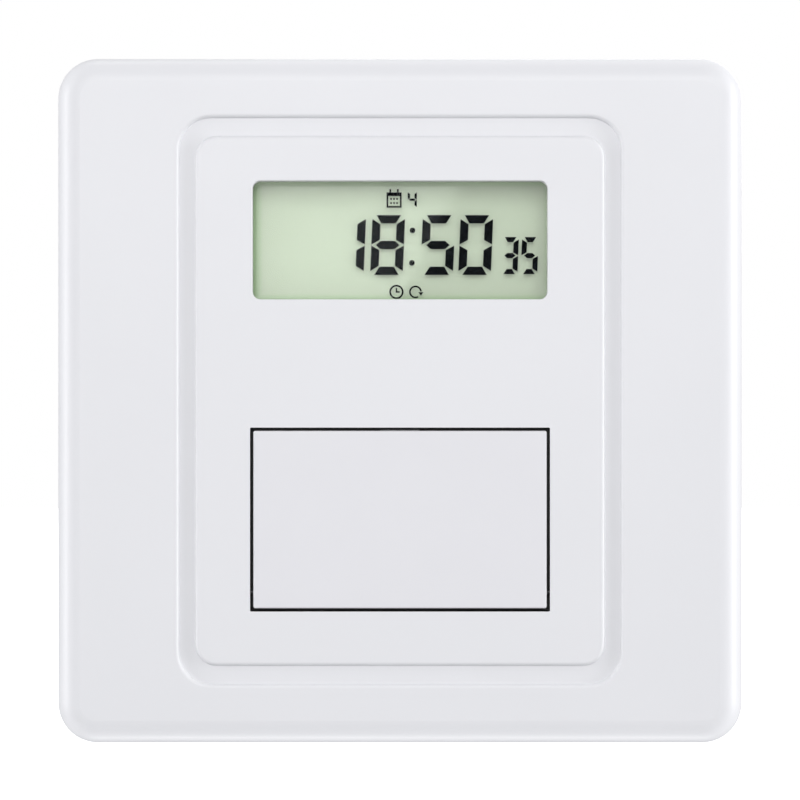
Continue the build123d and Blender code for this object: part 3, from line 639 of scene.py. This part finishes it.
# keys: a printed sign on each cap, in millimetres
keySign = {"size": 2.5, "proud": 0.015, "thick": 0.03}
signLook = {"colour": (0.78, 0.79, 0.80), "roughness": 0.55, "grainScale": 2500.0, "grainDepth": 0.006}


def arrowOutline(size, z=0.0):
    return [(-size / 2, z - size * 0.3), (size / 2, z - size * 0.3), (0, z + size * 0.4)]


def keyOutlines(name, size):
    if name == "clock":
        return clockOutlines(size)
    if name == "program":
        return [bar(size, size * 0.16, 0, z * size) for z in (-0.32, 0.0, 0.32)]
    if name == "day":
        return calendarOutlines(size)
    if name == "hour":
        return [arrowOutline(size)]
    if name == "minute":
        return [arrowOutline(size * 0.8, -size * 0.28), arrowOutline(size * 0.8, size * 0.34)]
    if name == "cancel":
        slash = [(-0.5, -0.38), (-0.38, -0.5), (0.5, 0.38), (0.38, 0.5)]
        arm = [(-0.5, 0.38), (-0.12, 0.0), (0.0, 0.12), (-0.38, 0.5)]  # stops at the slash
        twin = [(-x, -z) for x, z in arm]
        return [[(x * size, z * size) for x, z in outline] for outline in (slash, arm, twin)]
    return loopOutlines(size)


def buildKeys():
    ink = plastic("signWhite", signLook)
    for node in sorted(node for node in nodes if node.startswith("key_")):
        name = node.removeprefix("key_")
        low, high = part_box(node)
        place = {"x": (low.x + high.x) / 2 / mm, "z": (low.z + high.z) / 2 / mm,
                 "y": low.y / mm - keySign["proud"], "thick": keySign["thick"]}
        printed("sign_" + name, keyOutlines(name, keySign["size"]), place, ink, node)


buildKeys()
print("key signs done")


# boards: solder joints where leads come through, and the relay's winding
solderLook = {"Pad": 0.62 * mm, "Wire": 0.28 * mm, "Height": 0.45 * mm}
tabLook = {**solderLook, "Height": 0.3 * mm}
leadPlaces = {  # millimetres from the sides of each part's box
    "bars": {"past": 2.2, "down": 0.55}, "relay": {"in": 1.5, "up": 3.8}, "capacitor": {"in": 1.25},
    "resistors": {"in": 0.3, "end": 1.1}, "cell": {"in": 0.5},
}
windingLook = {"wire": 0.15, "pitch": 0.31, "under": 0.04, "end": 0.2}  # millimetres


def spread(low, high, count):
    return [low + (high - low) * (i + 0.5) / count for i in range(count)]


def buildBoards():
    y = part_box("power_board")[0].y / mm - 0.2
    lead = leadPlaces["bars"]
    low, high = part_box("terminal_bars")
    points = [(x, y, high.z / mm - lead["down"])
              for x in spread(low.x / mm - lead["past"], high.x / mm + lead["past"], 4)]
    lead = leadPlaces["relay"]
    low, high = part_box("relay_base")
    points += [(x / mm, y, low.z / mm + lead["up"])
               for x in (low.x + lead["in"] * mm, high.x - lead["in"] * mm)]
    lead = leadPlaces["capacitor"]
    low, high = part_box("suppressor_capacitor")
    points += [(x / mm, y, (low.z + high.z) / 2 / mm)
               for x in (low.x + lead["in"] * mm, high.x - lead["in"] * mm)]
    lead = leadPlaces["resistors"]
    low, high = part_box("resistors")
    points += [(x, y, z) for x in (low.x / mm + lead["in"], high.x / mm - lead["in"])
               for z in (low.z / mm + lead["end"], high.z / mm - lead["end"])]
    grow("powerSolder", solderTree, solderLook, points, "can_bright", "base")
    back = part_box("display_board")[1].y / mm
    low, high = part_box("backup_cell")
    tab = (high.x / mm - leadPlaces["cell"]["in"], back + 0.12, (low.z + high.z) / 2 / mm)
    grow("displaySolder", solderTree, tabLook, [tab], "can_bright", "front")

    low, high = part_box("relay_winding")
    look = windingLook
    wire = {"Radius": (high.x - low.x) / 2 - look["under"] * mm, "Wire": look["wire"] * mm}
    turns = int((high.y - low.y) / mm / look["pitch"])
    x, z = (low.x + high.x) / 2 / mm, (low.z + high.z) / 2 / mm
    steps = [(x, step, z) for step in spread(low.y / mm + look["end"], high.y / mm - look["end"], turns)]
    grow("windingTurns", coilTree, wire, steps, "winding_copper", "base")


buildBoards()
print("solder joints and winding done")


# rear: screw threads, and one to four counting dots under the screws
threadLook = {"Turns": 13.0, "Radius": 1.36 * mm, "Height": 6.4 * mm, "Ridge": 0.085 * mm}
dotLook = {"Radius": 0.32 * mm, "Height": 0.3 * mm}
dotRow = {"pitch": 1.1, "z": -23.1}  # millimetres


def buildTerminals():
    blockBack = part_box("terminal_block")[1].y / mm
    dots = []
    for number in range(1, 5):
        low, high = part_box(f"terminal_screw_{number}")
        x = (low.x + high.x) / 2 / mm
        start = (x, low.y / mm + 0.1, (low.z + high.z) / 2 / mm)
        grow(f"thread_{number}", ridgeTree, threadLook, [start], "clamp_steel", f"screw_{number}")
        dots += [(x + (i - (number - 1) / 2) * dotRow["pitch"], blockBack, dotRow["z"])
                 for i in range(number)]
    grow("wayDots", dotTree, dotLook, dots, "box_grey", "base")


buildTerminals()
print("terminals done")


# floor, lights and camera, in metres
stageLook = {"side": 0.9, "glow": 0.7, "roughness": 0.7, "patchScale": 8.0,
             "pale": ((0.93, 0.93, 0.93, 1.0), (0.96, 0.96, 0.96, 1.0)),
             "sky": (0.97, 0.98, 1.0, 1.0), "skyStrength": 0.505}
lightLooks = {
    "sideRight": {"place": (0.85, -0.17, 0.08), "size": (0.3, 0.6), "power": 4.2},
    "sideLeft": {"place": (-0.85, -0.15, 0.05), "size": (0.3, 0.6), "power": 3.0},
    "above": {"place": (0.05, -0.84, 0.30), "size": (0.5, 0.4), "power": 2.26},
    "overEdge": {"place": (0.0, 0.30, 0.82), "size": (0.6, 0.3), "power": 1.2},
    "underEdge": {"place": (0.0, 0.12, -0.84), "size": (0.6, 0.3), "power": 2.8},
    "behind": {"place": (0.2, 0.6, 0.3), "size": (0.5, 0.5), "power": 1.2},
}
# the panel that the window mirrors: its slanting right edge crosses the display
panelLook = {"width": 0.30, "height": 0.36, "slant": math.radians(28.0), "edge": (0.0127, -1.0, 0.0677),
             "power": 0.78}
cameraLook = {"lens": 150.0, "sensor": 36.0, "fieldWidth": 100.0 * mm, "drop": 0.1 * mm}


def buildStage():
    low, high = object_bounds()
    mesh = bpy.data.meshes.new("floor")
    side = stageLook["side"]
    corners = [(-side, -side, low.z), (side, -side, low.z), (side, side, low.z), (-side, side, low.z)]
    mesh.from_pydata(corners, [], [(0, 1, 2, 3)])
    material, shader, start = newMaterial("floorPale", {
        "Emission Strength": stageLook["glow"], "Emission Color": (1.0, 1.0, 1.0, 1.0),
        "Roughness": stageLook["roughness"]})
    connect(shader, {"Base Color": mixed(noise(here(start), stageLook["patchScale"]), *stageLook["pale"])})
    mesh.materials.append(material)
    floor = bpy.data.objects.new("floor", mesh)
    bpy.context.scene.collection.objects.link(floor)
    floor.visible_diffuse = False  # no bounce from below onto the white cover
    floor.visible_glossy = False
    floor.visible_shadow = False

    world = bpy.data.worlds.new("studio")
    bpy.context.scene.world = world
    world.use_nodes = True
    tree = world.node_tree
    tree.nodes.clear()
    start = Signal(tree)
    seen = start.node("ShaderNodeLightPath", {}, {}, "Is Camera Ray")
    soft = start.node("ShaderNodeBackground", {}, {
        "Color": stageLook["sky"], "Strength": stageLook["skyStrength"]})
    plain = start.node("ShaderNodeBackground", {}, {"Color": (1, 1, 1, 1), "Strength": 1.0})
    both = start.node("ShaderNodeMixShader", {}, {0: seen, 1: soft, 2: plain})
    tree.links.new(both.socket, tree.nodes.new("ShaderNodeOutputWorld").inputs[0])


def softbox(name, place, aim, size, power, turn=0.0):
    light = bpy.data.lights.new(name, "AREA")
    light.shape = "RECTANGLE"
    light.size, light.size_y = size
    light.energy = power
    lamp = bpy.data.objects.new(name, light)
    facing = (Vector(aim) - Vector(place)).to_track_quat("-Z", "Y").to_matrix().to_4x4()
    lamp.matrix_world = Matrix.Translation(place) @ facing @ Matrix.Rotation(turn, 4, "Z")
    bpy.context.scene.collection.objects.link(lamp)


def buildCamera():
    low, high = cadBox
    distance = cameraLook["lens"] * cameraLook["fieldWidth"] / cameraLook["sensor"]
    data = bpy.data.cameras.new("camera")
    data.lens = cameraLook["lens"]
    data.sensor_width = cameraLook["sensor"]
    data.clip_start = 0.01
    camera = bpy.data.objects.new("camera", data)
    camera.location = ((low.x + high.x) / 2, low.y - distance,
                       (low.z + high.z) / 2 + cameraLook["drop"])
    camera.rotation_euler = (math.pi / 2, 0.0, 0.0)
    bpy.context.scene.collection.objects.link(camera)
    bpy.context.scene.camera = camera


def buildLights():
    for name, look in lightLooks.items():
        softbox(name, look["place"], (0.0, 0.0, 0.0), look["size"], look["power"])
    look = panelLook
    sideways = Vector((-math.cos(look["slant"]), 0.0, math.sin(look["slant"])))
    centre = Vector(look["edge"]) + sideways * look["width"] / 2
    straightOn = centre + Vector((0.0, 1.0, 0.0))
    size = (look["width"], look["height"])
    softbox("windowPanel", centre, straightOn, size, look["power"], -look["slant"])


buildStage()
buildCamera()
buildLights()
scene = bpy.context.scene
scene.view_settings.view_transform = "Standard"
scene.cycles.transparent_max_bounces = 24
print("stage, lights and camera done")
